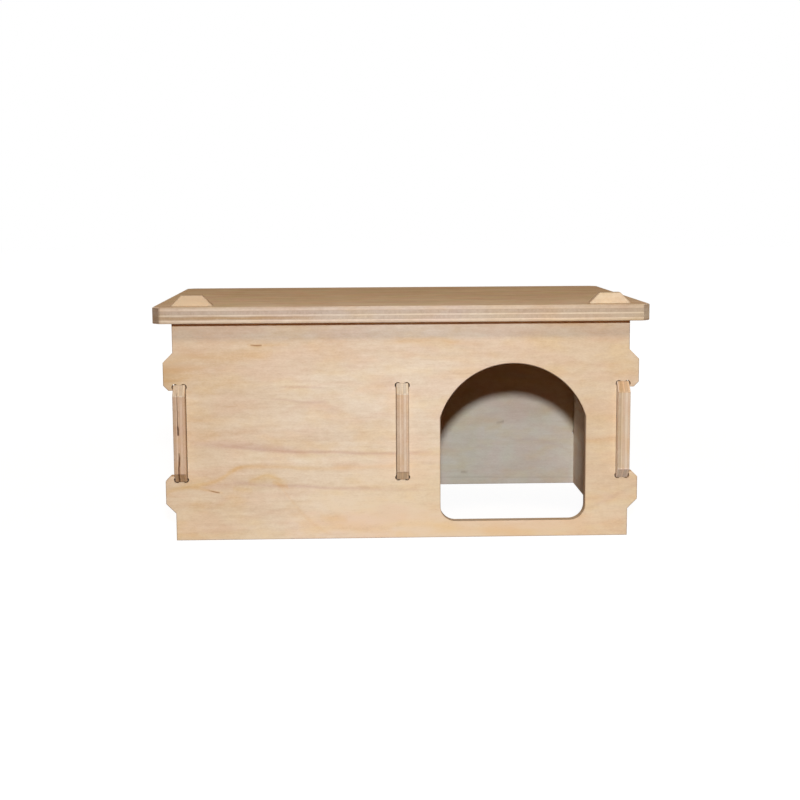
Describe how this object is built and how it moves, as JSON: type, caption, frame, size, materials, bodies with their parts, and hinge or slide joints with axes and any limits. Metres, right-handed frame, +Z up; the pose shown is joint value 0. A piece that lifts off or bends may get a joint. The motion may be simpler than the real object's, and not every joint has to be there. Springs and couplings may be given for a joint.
{
  "type": "hamster house",
  "caption": "Flat-pack plywood hamster house with two rooms: hooked and tenoned boards plug together under a lift-off overhanging roof, arched doorway to one side of the front.",
  "frame": {"origin": "on the ground under the middle of the house", "axes": "+X along the front towards the doorway end, +Y from the front to the back, +Z up"},
  "size_m": [0.301, 0.201, 0.1515],
  "materials": {
    "wall_ply": "bare sanded light plywood, nominal 8 mm, five plies",
    "roof_ply": "bare sanded light plywood, 10 mm, five plies"
  },
  "bodies": {
    "walls": {"front_panel": "wall_ply", "back_panel": "wall_ply", "left_wall": "wall_ply", "right_wall": "wall_ply", "divider": "wall_ply"},
    "roof": {"roof": "roof_ply"}
  },
  "joints": [
    {"name": "roof_lift", "type": "slide", "parent": "walls", "child": "roof", "axis": [0, 0, 1], "range_m": [0, 0.06]}
  ]
}
